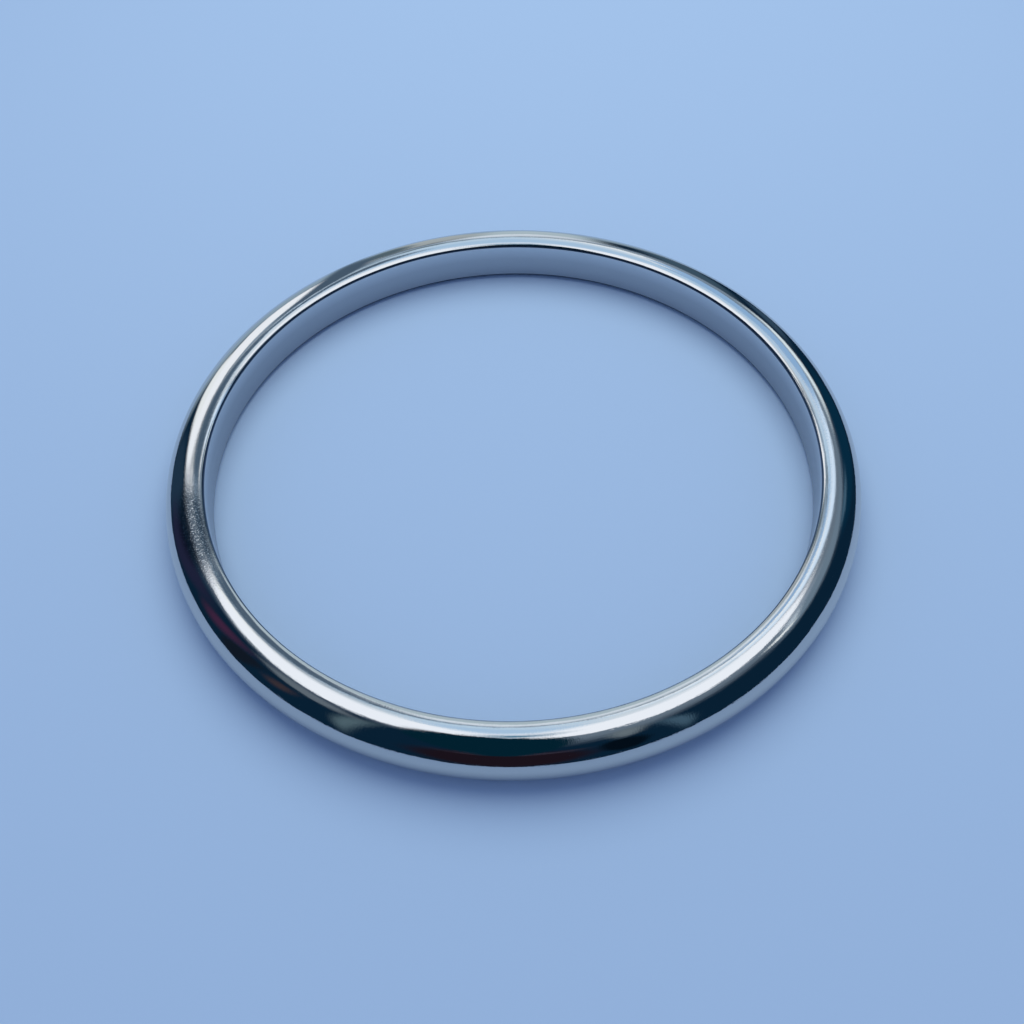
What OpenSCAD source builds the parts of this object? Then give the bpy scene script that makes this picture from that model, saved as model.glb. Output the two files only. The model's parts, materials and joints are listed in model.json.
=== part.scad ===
// Plain closed bangle: one ring of solid polished bar with a flat wall on the wrist side.
// The ring lies on its side with its axis along Z, and its lowest line is at Z = 0.

/* [Ring] */
// Inner diameter, measured across the flat wall
inner_d = 70; // [56:0.5:76]

/* [Bar] */
// Diameter of the round bar, which is also the height of the ring
bar_d = 6; // [4.5:0.1:8]
// Depth taken off the wrist side of the bar to make the flat wall
flat_depth = 1.25; // [0.5:0.05:1.8]
// Radius that eases each rim, where the flat wall meets the round outside
rim_r = 0.5; // [0.1:0.05:0.6]
// Narrow bands that make up the rounding of each rim
rim_bands = 4; // [2:1:8]

/* [Hidden] */
$fn = 180;

steel = "#A9B3C1";

inner_r = inner_d / 2;
bar_r = bar_d / 2;
// Distance from the flat wall to the middle of the bar
wall_to_mid = bar_r - flat_depth;
// Middle of the bar, as [distance from the ring's axis, height]
bar_mid = [inner_r + wall_to_mid, bar_r];

// The rim's arc touches the wall and the bar, so its middle lies rim_r from the wall and
// bar_r - rim_r from the middle of the bar. Points here are measured from the middle of the bar.
rim_mid = [
    rim_r - wall_to_mid,
    sqrt(pow(bar_r - rim_r, 2) - pow(wall_to_mid - rim_r, 2))
];
// Angle that the arc turns through from the wall to the bar, and the part of it for each band
rim_turn = atan2(rim_mid.y, -rim_mid.x);
band_turn = rim_turn / (rim_bands + 1);

// Direction at an angle that is measured from the wrist side upwards
function toward(a) = [-cos(a), sin(a)];
// Corner between band i and the one before it: the bands touch the arc from outside
function rim_corner(i) = rim_mid + toward((i + 0.5) * band_turn) * rim_r / cos(band_turn / 2);
// Along the last band, out past the bar
rim_end = rim_corner(rim_bands - 1) + [sin(rim_bands * band_turn), cos(rim_bands * band_turn)] * bar_d;
// Wrist side of the section above the middle of the bar: the rim's corners, then past the bar
upper_side = concat([for (i = [0 : rim_bands - 1]) rim_corner(i)], [rim_end, [bar_d, rim_end.y]]);
lower_side = [for (i = [len(upper_side) - 1 : -1 : 0]) [upper_side[i].x, -upper_side[i].y]];

// Section of the bar about its own middle, with the flat wall towards -X
module bar_section() {
    intersection() {
        circle(r = bar_r);
        polygon(concat(upper_side, lower_side));
    }
}

module band() {
    color(steel) rotate_extrude() translate(bar_mid) bar_section();
}

band();
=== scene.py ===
import json
import math
import bpy
import numpy as np
from mathutils import Matrix, Vector


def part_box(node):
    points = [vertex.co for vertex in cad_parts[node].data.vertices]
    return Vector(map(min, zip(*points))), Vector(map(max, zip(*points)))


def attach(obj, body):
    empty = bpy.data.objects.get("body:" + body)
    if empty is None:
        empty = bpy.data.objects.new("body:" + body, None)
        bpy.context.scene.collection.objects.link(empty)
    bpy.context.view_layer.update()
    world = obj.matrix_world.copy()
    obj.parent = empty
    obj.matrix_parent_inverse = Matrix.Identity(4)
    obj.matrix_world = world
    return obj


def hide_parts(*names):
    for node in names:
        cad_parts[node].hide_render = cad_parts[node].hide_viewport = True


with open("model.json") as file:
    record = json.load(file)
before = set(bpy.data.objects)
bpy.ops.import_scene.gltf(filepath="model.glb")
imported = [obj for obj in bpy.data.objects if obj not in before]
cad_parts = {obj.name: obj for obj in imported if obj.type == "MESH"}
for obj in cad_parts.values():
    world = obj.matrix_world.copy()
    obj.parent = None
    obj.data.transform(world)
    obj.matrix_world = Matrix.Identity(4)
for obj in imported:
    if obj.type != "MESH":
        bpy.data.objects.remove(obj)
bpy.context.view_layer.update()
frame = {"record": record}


# The band: one closed ring of stainless steel bar. The bar is round, turned flat on the wrist side and eased
# where the flat meets the round. Outside it is buffed to a mirror, and the wrist side keeps its turned satin.
bore = next(m for m in frame["record"]["mounts"] if m["name"] == "wrist_bore")
low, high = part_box("band")
inner_r = bore["dims"]["r_mm"] / 1000
bar_r = (high.z - low.z) / 2
flat_depth = 0.00125
rim_r = 0.0005
wall_to_mid = bar_r - flat_depth
around_steps = 1024
wall_steps, rim_steps, under_steps, dome_steps = 6, 8, 10, 62
# The band's finishes, in the order of its material slots: the mirror, the flat's satin, and the rim's dull
# line, which is painted dark as shade.
mirror, satin, dull_and_shaded = 0, 1, 2


def arc(middle, radius, start, end, steps):
    """Points middle + radius * (cos a, sin a), a going evenly from start to end, the last one left out."""
    a = np.linspace(start, end, steps, endpoint=False)
    return np.column_stack([middle[0] + radius * np.cos(a), middle[1] + radius * np.sin(a)])


def bar_section():
    """Section of the bar as (distance from the ring's axis, height), once round from its lowest point.

    The rim's arc touches the flat and the round outside, so its middle lies rim_r from the flat and
    bar_r - rim_r from the middle of the bar. The round outside spans the rest of the circle.
    Returns the points and, for each, the finish of the strip that it starts.
    """
    mid = np.array([inner_r + wall_to_mid, bar_r])
    run = wall_to_mid - rim_r
    rise = math.sqrt((bar_r - rim_r) ** 2 - run ** 2)
    turn = math.atan2(rise, run)
    lower_rim = mid + [-run, -rise]
    upper_rim = mid + [-run, rise]
    heights = np.linspace(lower_rim[1], upper_rim[1], wall_steps, endpoint=False)
    flat = np.column_stack([np.full(wall_steps, inner_r), heights])
    bottom = -math.pi / 2
    rim_finish = np.array([mirror, dull_and_shaded, dull_and_shaded, dull_and_shaded, dull_and_shaded, dull_and_shaded, mirror, mirror])
    runs = [
        (arc(mid, bar_r, bottom, -math.pi + turn, under_steps), mirror),
        (arc(lower_rim, rim_r, -math.pi + turn, -math.pi, rim_steps), rim_finish[::-1]),
        (flat, satin),
        (arc(upper_rim, rim_r, math.pi, math.pi - turn, rim_steps), rim_finish),
        (arc(mid, bar_r, math.pi - turn, bottom, dome_steps), mirror),
    ]
    points = np.concatenate([p for p, _ in runs])
    finish = np.concatenate([np.full(len(p), f) for p, f in runs])
    return points, finish


def ring_mesh(name):
    """Carries the section round the ring's axis: (x, y, z) = (d cos t, d sin t, h) for its point (d, h).

    Each corner also gets "bar_place", where it lies on the straightened bar, in metres: the inner circle's
    point (r cos t, r sin t) and the way gone along the section, so that a grain drawn on it has no seam.
    """
    section, finish = bar_section()
    n = len(section)
    step = np.linalg.norm(np.roll(section, -1, axis=0) - section, axis=1)
    gone = np.concatenate([[0], np.cumsum(step)])
    t = np.linspace(0, 2 * math.pi, around_steps, endpoint=False)
    d, h = section[:, 0], section[:, 1]
    heights = np.tile(h, (around_steps, 1))
    places = np.stack([np.outer(np.cos(t), d), np.outer(np.sin(t), d), heights], axis=-1)
    i, j = np.meshgrid(np.arange(around_steps), np.arange(n), indexing="ij")
    i_next, j_next = (i + 1) % around_steps, (j + 1) % n
    corners = np.stack([i * n + j, i * n + j_next, i_next * n + j_next, i_next * n + j], axis=-1)
    mesh = bpy.data.meshes.new(name)
    mesh.from_pydata(places.reshape(-1, 3), [], corners.reshape(-1, 4))
    along = np.stack([i, i, i_next, i_next], axis=-1)
    across = np.stack([j, j + 1, j + 1, j], axis=-1)
    bar_place = np.stack([inner_r * np.cos(t[along]), inner_r * np.sin(t[along]), gone[across]], axis=-1)
    attribute = mesh.attributes.new("bar_place", "FLOAT_VECTOR", "CORNER")
    attribute.data.foreach_set("vector", bar_place.ravel())
    mesh.polygons.foreach_set("material_index", np.tile(finish, around_steps))
    mesh.shade_smooth()
    mesh.validate()
    return mesh


def linear(hex_colour):
    """sRGB hex to linear: c / 12.92 for a channel c up to 0.04045, else ((c + 0.055) / 1.055) ** 2.4."""
    c = np.array([int(hex_colour[k:k + 2], 16) / 255 for k in (1, 3, 5)])
    return [*np.where(c <= 0.04045, c / 12.92, ((c + 0.055) / 1.055) ** 2.4), 1.0]


def add(tree, kind, inputs=(), **settings):
    """Adds a node: settings are its own properties, inputs its sockets' values or what they are linked to."""
    made = tree.nodes.new(kind)
    for key, value in settings.items():
        setattr(made, key, value)
    for key, value in dict(inputs).items():
        if isinstance(value, bpy.types.NodeSocket):
            tree.links.new(value, made.inputs[key])
        else:
            made.inputs[key].default_value = value
    return made


def new_material(name, colour):
    """A material with its own tree, its shader's base colour set."""
    material = bpy.data.materials.new(name)
    material.use_nodes = True
    shader = material.node_tree.nodes["Principled BSDF"]
    shader.inputs["Base Color"].default_value = linear(colour)
    return material, material.node_tree, shader


def grain(tree, place, size_mm, detail=2.0):
    """Noise from 0 to 1 over the bar, its grains size_mm long: along the ring twice, then across it."""
    scaled = add(tree, "ShaderNodeVectorMath", {
        0: place, 1: [1000 / size for size in size_mm]}, operation="MULTIPLY").outputs["Vector"]
    return add(tree, "ShaderNodeTexNoise", {"Vector": scaled, "Scale": 1.0, "Detail": detail}).outputs["Fac"]


def relief(tree, parts):
    """Normal from (noise, height in metres) parts, added up."""
    total = None
    for noise, height in parts:
        part = add(tree, "ShaderNodeMath", {0: noise, 1: height}, operation="MULTIPLY").outputs[0]
        if total is not None:
            part = add(tree, "ShaderNodeMath", {0: part, 1: total}, operation="ADD").outputs[0]
        total = part
    return add(tree, "ShaderNodeBump", {"Height": total, "Distance": 1.0}).outputs["Normal"]


def worn_and_shaded_spot(tree, place):
    """Where handling has worn the mirror, as (dulled, roughened), both from 0 to 1.

    The spot is an ellipsoid round a place on the left of the bar. The dulled part reaches 7.5 mm along the
    ring and 1.9 mm across it, and the roughened part 1.3 times as far. Each fades out over its outer part.
    Where it is dulled, the steel is also painted a dark grey as painted shade.
    """
    middle = (-0.0331, -0.0113, 0.0083)
    along, across = 0.0075, 0.0019
    fades = ((1.0, 0.5), (1.3, 0.6))
    gap = add(tree, "ShaderNodeVectorMath", {
        0: place, 1: middle}, operation="SUBTRACT").outputs["Vector"]
    share = add(tree, "ShaderNodeVectorMath", {
        0: gap, 1: (1 / along, 1 / along, 1 / across)}, operation="MULTIPLY").outputs["Vector"]
    reach = add(tree, "ShaderNodeVectorMath", {0: share}, operation="LENGTH").outputs["Value"]
    return [add(tree, "ShaderNodeMapRange", {
        "Value": reach, "From Min": far, "From Max": near}, interpolation_type="SMOOTHSTEP").outputs[0]
        for far, near in fades]


def buffed_steel():
    """Stainless steel buffed to a mirror. It shows what is round it as crisp bands with grainy edges."""
    # Painted shade: the second grey, for the worn spot, is far darker than worn steel is.
    bright, worn_shade_grey = "#CBC9C6", "#5C666E"
    material, tree, shader = new_material("buffed_stainless_steel", bright)
    place = add(tree, "ShaderNodeAttribute", attribute_name="bar_place").outputs["Vector"]
    dulled_and_shaded, roughened = worn_and_shaded_spot(tree, place)
    # The hairlines are coarser than a wheel's real ones, which are too fine to show from this far.
    hairlines = grain(tree, place, (2.5, 2.5, 0.12))
    speckle = grain(tree, place, (0.12, 0.12, 0.18))
    waves = grain(tree, place, (9, 9, 5), detail=0.0)
    speckle_height = add(tree, "ShaderNodeMapRange", {
        "Value": roughened, "To Min": 0.000003, "To Max": 0.000016}).outputs[0]
    # Painted shade: between the bright specks that are left, the worn part is painted a dull dark grey, much
    # darker than worn steel is, which dims what it mirrors there.
    between = add(tree, "ShaderNodeMapRange", {
        "Value": speckle, "From Min": 0.74, "From Max": 0.52}).outputs[0]
    worn_shade_share = add(tree, "ShaderNodeMath", {0: dulled_and_shaded, 1: between}, operation="MULTIPLY").outputs[0]
    tree.links.new(add(tree, "ShaderNodeMix", {
        "Factor": worn_shade_share, "A": linear(bright), "B": linear(worn_shade_grey)},
        data_type="RGBA").outputs["Result"], shader.inputs["Base Color"])
    shader.inputs["Metallic"].default_value = 1.0
    tree.links.new(add(tree, "ShaderNodeMapRange", {
        "Value": dulled_and_shaded, "To Min": 0.04, "To Max": 0.14}).outputs[0], shader.inputs["Roughness"])
    tree.links.new(relief(tree, [
        (hairlines, 0.000004), (speckle, speckle_height), (waves, 0.00005)]), shader.inputs["Normal"])
    return material


def rim_steel():
    """The steel along each rim, where the buffing wheel and the lathe tool both stopped: a fine dull line,
    painted a dark blue-grey as shade, far darker than steel is.
    """
    # Painted shade: the line's dark blue-grey colour stands in for the dark line that the edge shows.
    material, tree, shader = new_material("unbuffed_steel_painted_dark", "#46566A")
    place = add(tree, "ShaderNodeAttribute", attribute_name="bar_place").outputs["Vector"]
    # Its grain is drawn coarser than the real one, which is too fine to show on so thin a line.
    tool_marks = grain(tree, place, (1.5, 1.5, 0.1))
    shader.inputs["Metallic"].default_value = 1.0
    tree.links.new(add(tree, "ShaderNodeMapRange", {
        "Value": tool_marks, "To Min": 0.3, "To Max": 0.4}).outputs[0], shader.inputs["Roughness"])
    tree.links.new(relief(tree, [(tool_marks, 0.000004)]), shader.inputs["Normal"])
    return material


def satin_steel():
    """The same steel as the lathe left it. Its fine grain blurs what it mirrors to a soft sheen."""
    # Painted shade: both greys are darker and bluer than the buffed steel's grey.
    lathed_shade_grey, painted_sheen_grey = "#AEB3BB", "#C6CBD2"
    material, tree, shader = new_material("turned_stainless_steel", lathed_shade_grey)
    place = add(tree, "ShaderNodeAttribute", attribute_name="bar_place").outputs["Vector"]
    # Painted highlight: the upper part of the wall, from 4.6 mm along the section up to the rim, is painted
    # lighter than its foot. The wall lies from 2.1 to 6.4 mm along the section, its foot first.
    gone = add(tree, "ShaderNodeSeparateXYZ", {0: place}).outputs["Z"]
    painted_sheen_share = add(tree, "ShaderNodeMapRange", {
        "Value": gone, "From Min": 0.0046, "From Max": 0.0064}).outputs[0]
    tree.links.new(add(tree, "ShaderNodeMix", {
        "Factor": painted_sheen_share, "A": linear(lathed_shade_grey), "B": linear(painted_sheen_grey)},
        data_type="RGBA").outputs["Result"], shader.inputs["Base Color"])
    # Feed marks 0.15 mm apart, as a lathe leaves them, and a broader unevenness.
    turned = grain(tree, place, (6, 6, 0.15))
    speckle = grain(tree, place, (0.8, 0.8, 0.3))
    shader.inputs["Metallic"].default_value = 1.0
    tree.links.new(add(tree, "ShaderNodeMapRange", {
        "Value": speckle, "To Min": 0.26, "To Max": 0.4}).outputs[0], shader.inputs["Roughness"])
    tree.links.new(relief(tree, [(turned, 0.000006), (speckle, 0.00001)]), shader.inputs["Normal"])
    return material


band = bpy.data.objects.new("bangle_band", ring_mesh("bangle_band"))
bpy.context.scene.collection.objects.link(band)
band.data.materials.append(buffed_steel())
band.data.materials.append(satin_steel())
band.data.materials.append(rim_steel())
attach(band, "root")
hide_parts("band")


# The floor: a sheet of smooth pale blue card, 3 m square, that the bangle lies on. Its edges show only in low
# views. Its face is matt, and it shows the lamp's soft shadow and no sheen.
floor_half = 1.5
floor_mesh = bpy.data.meshes.new("floor")
floor_corners = [(x * floor_half, y * floor_half, 0) for x, y in ((-1, -1), (1, -1), (1, 1), (-1, 1))]
floor_mesh.from_pydata(floor_corners, [], [(0, 1, 2, 3)])
floor_card, _, floor_shader = new_material("pale_blue_card", "#B8D2F1")
floor_shader.inputs["Roughness"].default_value = 0.7
floor_shader.inputs["Specular IOR Level"].default_value = 0.0
floor_mesh.materials.append(floor_card)
floor = bpy.data.objects.new("floor", floor_mesh)
bpy.context.scene.collection.objects.link(floor)


# The light tent: a half dome of cloth, 280 mm across, hung with pale and dark cards and lit from outside. It
# stands round the bangle, and only the steel sees it, so the floor keeps its own plain light.
tent_r = 0.14
tent_dark = "#081F33"
tent_strength = 1.72
# What hangs in the tent, in the order it is hung: name, direction of its middle from the ring's (azimuth from
# +X, height above the floor), half its width and height, its tilt, how much of the way out its edge starts
# to fade, and its colour as the steel shows it. All angles are in degrees.
tent_cards = [
    ("low cloth", 106, 2, 48, 26, 0, 0.6, "#7F95A8"),
    ("middle cloth", 82, 46, 32, 16, 0, 0.5, "#8CA2B8"),
    ("right corner", 30, 24, 18, 22, 0, 0.6, "#06283F"),
    ("right grey", 53, 14, 6, 18, 0, 0.3, "#2C4256"),
    ("slate right", 67, 20, 8, 18, 0, 0.4, "#384E60"),
    ("pale panel", 87, 20, 10, 24, 0, 0.5, "#A0B2BE"),
    ("bright panel", 88, 34, 9, 10, 0, 0.4, "#CDDAE8"),
    ("dark left", 157, 26, 13, 34, 0, 0.6, "#1C3044"),
    ("left cloth", 100, 16, 9, 22, 0, 0.5, "#98A2A8"),
    ("slate left", 106, 22, 5.5, 24, 0, 0.4, "#4E606C"),
    ("slate spot", 98, 43, 4, 4, 0, 0.3, "#66767F"),
    ("white panel", 123, 34.5, 16.5, 16, 0, 0.75, "#E2E9F3"),
    ("white foot", 135, 26, 7, 12, 0, 0.5, "#DCE4EA"),
    ("left navy", 170, 22, 12, 26, 0, 0.5, "#1C2038"),
    ("plum", 188, 29, 8, 20, 0, 0.1, "#3A223C"),
    ("left black", 199, 18, 6, 24, 0, 0.5, "#101824"),
    ("brown left", 210, 26, 5, 14, 0, 0.1, "#352E34"),
    ("grey green", 227, 34, 4, 38, 8, 0.2, "#4A5F6A"),
    ("brown near", 266, 20, 24, 26, 0, 0.6, "#19121B"),
    ("brown line", 268, 34, 20, 4, 0, 0.2, "#322E3C"),
    ("black right", 294, 22, 6, 18, 0, 0.7, "#030D18"),
    ("grey line", 309, 30, 3.5, 34, -4, 0.2, "#3A5468"),
    ("left grey", 204, 50, 14, 10, 0, 0.4, "#5A6672"),
    ("left halo", 153, 71, 27, 31, -60, 0.6, "#505E70"),
    ("right halo", 38, 74, 43, 55, 52, 0.5, "#5F6F80"),
    ("near right grey", 301, 50, 4.5, 16, -14, 0.3, "#5F6C76"),
    ("right blue grey", 18, 46.5, 27, 9, 0, 0.4, "#627689"),
    ("right edge", 54, 37, 10, 7, 0, 0.3, "#D0E0EA"),
    ("pale blue right", 74, 50, 14, 6, 0, 0.4, "#C8DEF6"),
    ("white corner", 121, 53, 10, 4.5, 0, 0.4, "#E0E8EE"),
    ("roof left", 150, 70, 19, 24, -60, 0.8, "#E4ECF8"),
    ("roof right", 38, 74, 19, 24, 52, 0.86, "#E4ECF8"),
    ("roof middle", 90, 60, 17, 14, 0, 0.4, "#C4D2E0"),
    ("blue", 93, 64, 8, 20, 0, 0.3, "#A0BEDC"),
    ("pale blue middle", 91, 49, 8, 6, 0, 0.4, "#AEC8E0"),
    ("right white", 80, 46, 7, 4.5, 0, 0.3, "#DCE6F0"),
    ("grey smudge", 24, 34, 6, 7, 30, 0.2, "#3C5A70"),
    ("grey wedge", 22, 54, 12, 4, 0, 0.3, "#7C8C9E"),
    ("dark tongue", 260, 60, 15, 32, 11, 0.88, "#02202F"),
    ("tongue tip", 90, 86, 7, 9, 0, 0.1, "#4B7896"),
    ("streak", 359, 50, 4, 4.5, 30, 0.3, "#DCE6EC"),
    ("streak tail", 9, 52, 8, 2.5, 30, 0.3, "#AAB9C8"),
]


def soft_ellipse(tree, u, v, half_u, half_v, fade):
    """1 inside an ellipse round (0, 0), falling smoothly to 0 from the share fade of the way to its edge."""
    offset = add(tree, "ShaderNodeCombineXYZ", {"X": u, "Y": v}).outputs[0]
    share = add(tree, "ShaderNodeVectorMath", {
        0: offset, 1: (1 / half_u, 1 / half_v, 0)}, operation="MULTIPLY").outputs["Vector"]
    reach = add(tree, "ShaderNodeVectorMath", {0: share}, operation="LENGTH").outputs["Value"]
    return add(tree, "ShaderNodeMapRange", {
        "Value": reach, "From Min": 1.0, "From Max": fade}, interpolation_type="SMOOTHSTEP").outputs[0]


def glowing(name):
    """A material that only gives light, its tree and its emission shader."""
    material = bpy.data.materials.new(name)
    material.use_nodes = True
    material.cycles.emission_sampling = "NONE"
    tree = material.node_tree
    tree.nodes.clear()
    light = add(tree, "ShaderNodeEmission", {"Strength": tent_strength})
    return material, tree, light


def tent_cloth():
    """Lit cloth. Each card is an ellipse of directions, measured by the angles off its middle."""
    material, tree, light = glowing("lit_tent_cloth")
    place = add(tree, "ShaderNodeTexCoord").outputs["Object"]
    direction = add(tree, "ShaderNodeVectorMath", {0: place}, operation="NORMALIZE").outputs["Vector"]
    colour = linear(tent_dark)
    for name, azimuth, height, half_w, half_h, tilt, fade, hex_colour in tent_cards:
        a, e, lean = math.radians(azimuth), math.radians(height), math.radians(tilt)
        out = Vector((math.cos(e) * math.cos(a), math.cos(e) * math.sin(a), math.sin(e)))
        side = Vector((-math.sin(a), math.cos(a), 0))
        up = out.cross(side)
        side, up = math.cos(lean) * side + math.sin(lean) * up, math.cos(lean) * up - math.sin(lean) * side
        ahead, sideways, upward = (
            add(tree, "ShaderNodeVectorMath", {
                0: direction, 1: axis}, operation="DOT_PRODUCT").outputs["Value"]
            for axis in (out, side, up))
        u = add(tree, "ShaderNodeMath", {0: sideways, 1: ahead}, operation="ARCTAN2").outputs[0]
        v = add(tree, "ShaderNodeMath", {0: upward, 1: ahead}, operation="ARCTAN2").outputs[0]
        inside = soft_ellipse(tree, u, v, math.radians(half_w), math.radians(half_h), fade)
        colour = add(tree, "ShaderNodeMix", {
            "Factor": inside, "A": colour, "B": linear(hex_colour)}, data_type="RGBA").outputs["Result"]
    tree.links.new(colour, light.inputs["Color"])
    add(tree, "ShaderNodeOutputMaterial", {"Surface": light.outputs[0]})
    return material


def tent_mesh():
    """Half a sphere round the ring's middle on the floor: tent_r (cos e cos a, cos e sin a, sin e)."""
    sides, levels = 96, 32
    a = np.linspace(0, 2 * math.pi, sides, endpoint=False)
    e = np.linspace(0, math.pi / 2, levels, endpoint=False)
    rings = np.stack([np.outer(np.cos(e), np.cos(a)), np.outer(np.cos(e), np.sin(a)),
                      np.outer(np.sin(e), np.ones(sides))], axis=-1).reshape(-1, 3)
    i, j = np.meshgrid(np.arange(levels - 1), np.arange(sides), indexing="ij")
    below, above, j_next = i * sides, (i + 1) * sides, (j + 1) % sides
    quads = np.stack([below + j, below + j_next, above + j_next, above + j], axis=-1)
    last = (levels - 1) * sides
    top = [(last + k, last + (k + 1) % sides, len(rings)) for k in range(sides)]
    mesh = bpy.data.meshes.new("light_tent")
    places = tent_r * np.vstack([rings, [0, 0, 1]])
    mesh.from_pydata(places.tolist(), [], quads.reshape(-1, 4).tolist() + top)
    return mesh


def hang(name, mesh, material):
    """Adds a thing that only the polished steel sees."""
    mesh.materials.append(material)
    thing = bpy.data.objects.new(name, mesh)
    bpy.context.scene.collection.objects.link(thing)
    for rays in ("camera", "diffuse", "transmission", "volume_scatter", "shadow"):
        setattr(thing, "visible_" + rays, False)


hang("light_tent", tent_mesh(), tent_cloth())


# The near cards: a slate one and a blue one, soft at their edges. They stand just behind the ring, so close
# that the back of the ring and the front of it see them in different directions.
near_y = 0.045
# Parts of each: middle across and up, half width and half height (all in millimetres), tilt in degrees, fade.
slate_parts = [
    (-25, 25, 7, 30, 0, 0.5),
    (-22, 57.5, 19, 9.5, 12, 0.5),
    (-14, 43, 8, 15, 0, 0.4),
    (-54, 77, 19, 8, 16, 0.6),
]
blue_parts = [
    (29, 48, 17, 13, -5, 0.7),
    (24, 35, 11, 6, -60, 0.6),
]


def near_card(name, colour, parts):
    """Card whose edges are out of focus: clear outside its soft ellipses."""
    material, tree, light = glowing(name)
    light.inputs["Color"].default_value = linear(colour)
    place = add(tree, "ShaderNodeTexCoord").outputs["Object"]
    share = 0.0
    for x, z, half_w, half_h, tilt, fade in parts:
        gap = add(tree, "ShaderNodeVectorMath", {
            0: place, 1: (x / 1000, 0, z / 1000)}, operation="SUBTRACT").outputs["Vector"]
        c, s = math.cos(math.radians(tilt)), math.sin(math.radians(tilt))
        u, v = (add(tree, "ShaderNodeVectorMath", {0: gap, 1: axis}, operation="DOT_PRODUCT").outputs["Value"]
                for axis in ((c, 0, -s), (s, 0, c)))
        inside = soft_ellipse(tree, u, v, half_w / 1000, half_h / 1000, fade)
        share = add(tree, "ShaderNodeMath", {0: inside, 1: share}, operation="MAXIMUM").outputs[0]
    clear = add(tree, "ShaderNodeBsdfTransparent").outputs[0]
    mixed = add(tree, "ShaderNodeMixShader", {0: share, 1: clear, 2: light.outputs[0]}).outputs[0]
    add(tree, "ShaderNodeOutputMaterial", {"Surface": mixed})
    return material


def near_mesh(name, left, right, top):
    """Upright sheet at y = near_y, from left to right and from just above the floor to top, in metres."""
    foot = 0.001
    mesh = bpy.data.meshes.new(name)
    corners = [(left, near_y, foot), (right, near_y, foot), (right, near_y, top), (left, near_y, top)]
    mesh.from_pydata(corners, [], [(0, 1, 2, 3)])
    return mesh


slate_card = near_card("slate_card", "#43566A", slate_parts)
hang("slate_card", near_mesh("slate_card", -0.074, 0.005, 0.088), slate_card)
blue_card = near_card("blue_card", "#84A8D0", blue_parts)
hang("blue_card", near_mesh("blue_card", 0.006, 0.048, 0.064), blue_card)


# The light: an even pale sky, and one wide soft lamp overhead, a little to the back. It brightens the far
# side of the floor and leaves a short soft shadow in front of the ring.
sky = bpy.data.worlds.new("pale_sky")
sky.use_nodes = True
sky.node_tree.nodes["Background"].inputs["Color"].default_value = linear("#B2C6F0")
sky.node_tree.nodes["Background"].inputs["Strength"].default_value = 0.56
bpy.context.scene.world = sky

lamp_data = bpy.data.lights.new("soft_lamp", "AREA")
lamp_data.shape = "DISK"
lamp_data.size = 0.4
lamp_data.energy = 0.685
lamp_data.color = linear("#FCFFEF")[:3]
lamp = bpy.data.objects.new("soft_lamp", lamp_data)
lamp.location = (0.015, 0.13, 0.3)
lamp.rotation_euler = (-lamp.location).to_track_quat("-Z", "Y").to_euler()
lamp.visible_glossy = False
bpy.context.scene.collection.objects.link(lamp)


# The camera: held over the near side, about 122 mm from the middle of the ring and 50 degrees above the
# floor. It looks almost at the ring's middle, a little below it, and is rolled by 1.4 degrees.
film_width = 36
focal_pixels, frame_pixels = 1025, 1024
camera_data = bpy.data.cameras.new("camera")
camera_data.sensor_width = film_width
camera_data.lens = film_width * focal_pixels / frame_pixels
camera_data.clip_start = 0.005
camera = bpy.data.objects.new("camera", camera_data)
camera.location = (0, -0.0779, 0.0943)
aim = (-camera.location).to_track_quat("-Z", "Y").to_matrix()
small_turns = (("Y", 0.001536), ("X", -0.040087), ("Z", -0.02501))
for axis, angle in small_turns:
    aim = aim @ Matrix.Rotation(angle, 3, axis)
camera.rotation_euler = aim.to_euler()
bpy.context.scene.collection.objects.link(camera)
bpy.context.scene.camera = camera
bpy.context.scene.view_settings.view_transform = "Standard"
